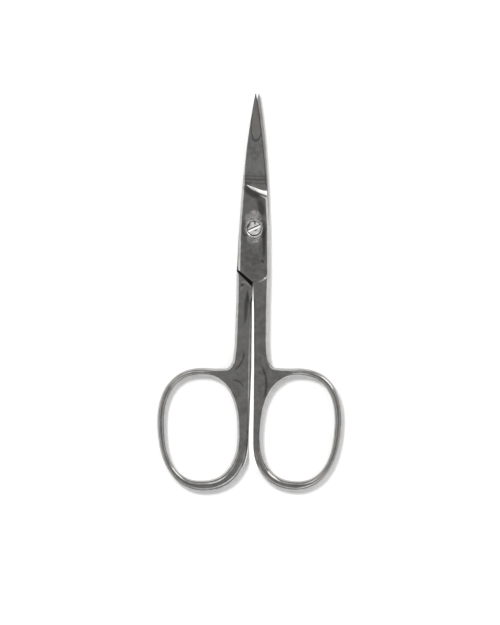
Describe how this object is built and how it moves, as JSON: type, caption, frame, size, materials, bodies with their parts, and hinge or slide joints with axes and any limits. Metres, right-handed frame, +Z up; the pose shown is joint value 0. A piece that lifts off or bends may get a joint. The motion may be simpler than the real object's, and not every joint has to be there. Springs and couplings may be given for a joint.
{
  "type": "nail scissors",
  "caption": "Straight plated nail scissors: two forged halves with tapered ground blades and oval finger bows, crossing at a slotted pivot screw, lying almost closed.",
  "frame": {"origin": "centre of the bounding box in plan, at the level of the surface that the scissors lie on", "axes": "+Y along the closed scissors towards the blade tips, +X to the right when the screw head faces up, +Z up out of the face with the screw head"},
  "size_m": [0.0418, 0.09, 0.003],
  "materials": {
    "plated_steel": "mirror polished plating with fine handling scratches",
    "screw_steel": "turned and polished, bright slot"
  },
  "bodies": {
    "lower": {"lower_half": "plated_steel", "pivot_screw": "screw_steel"},
    "upper": {"upper_half": "plated_steel"}
  },
  "joints": [
    {"name": "scissor_pivot", "type": "hinge", "parent": "lower", "child": "upper", "pos_m": [-0.00008, 0.01464, 0.0015], "axis": [0, 0, 1], "range_deg": [-0.7, 140]}
  ]
}
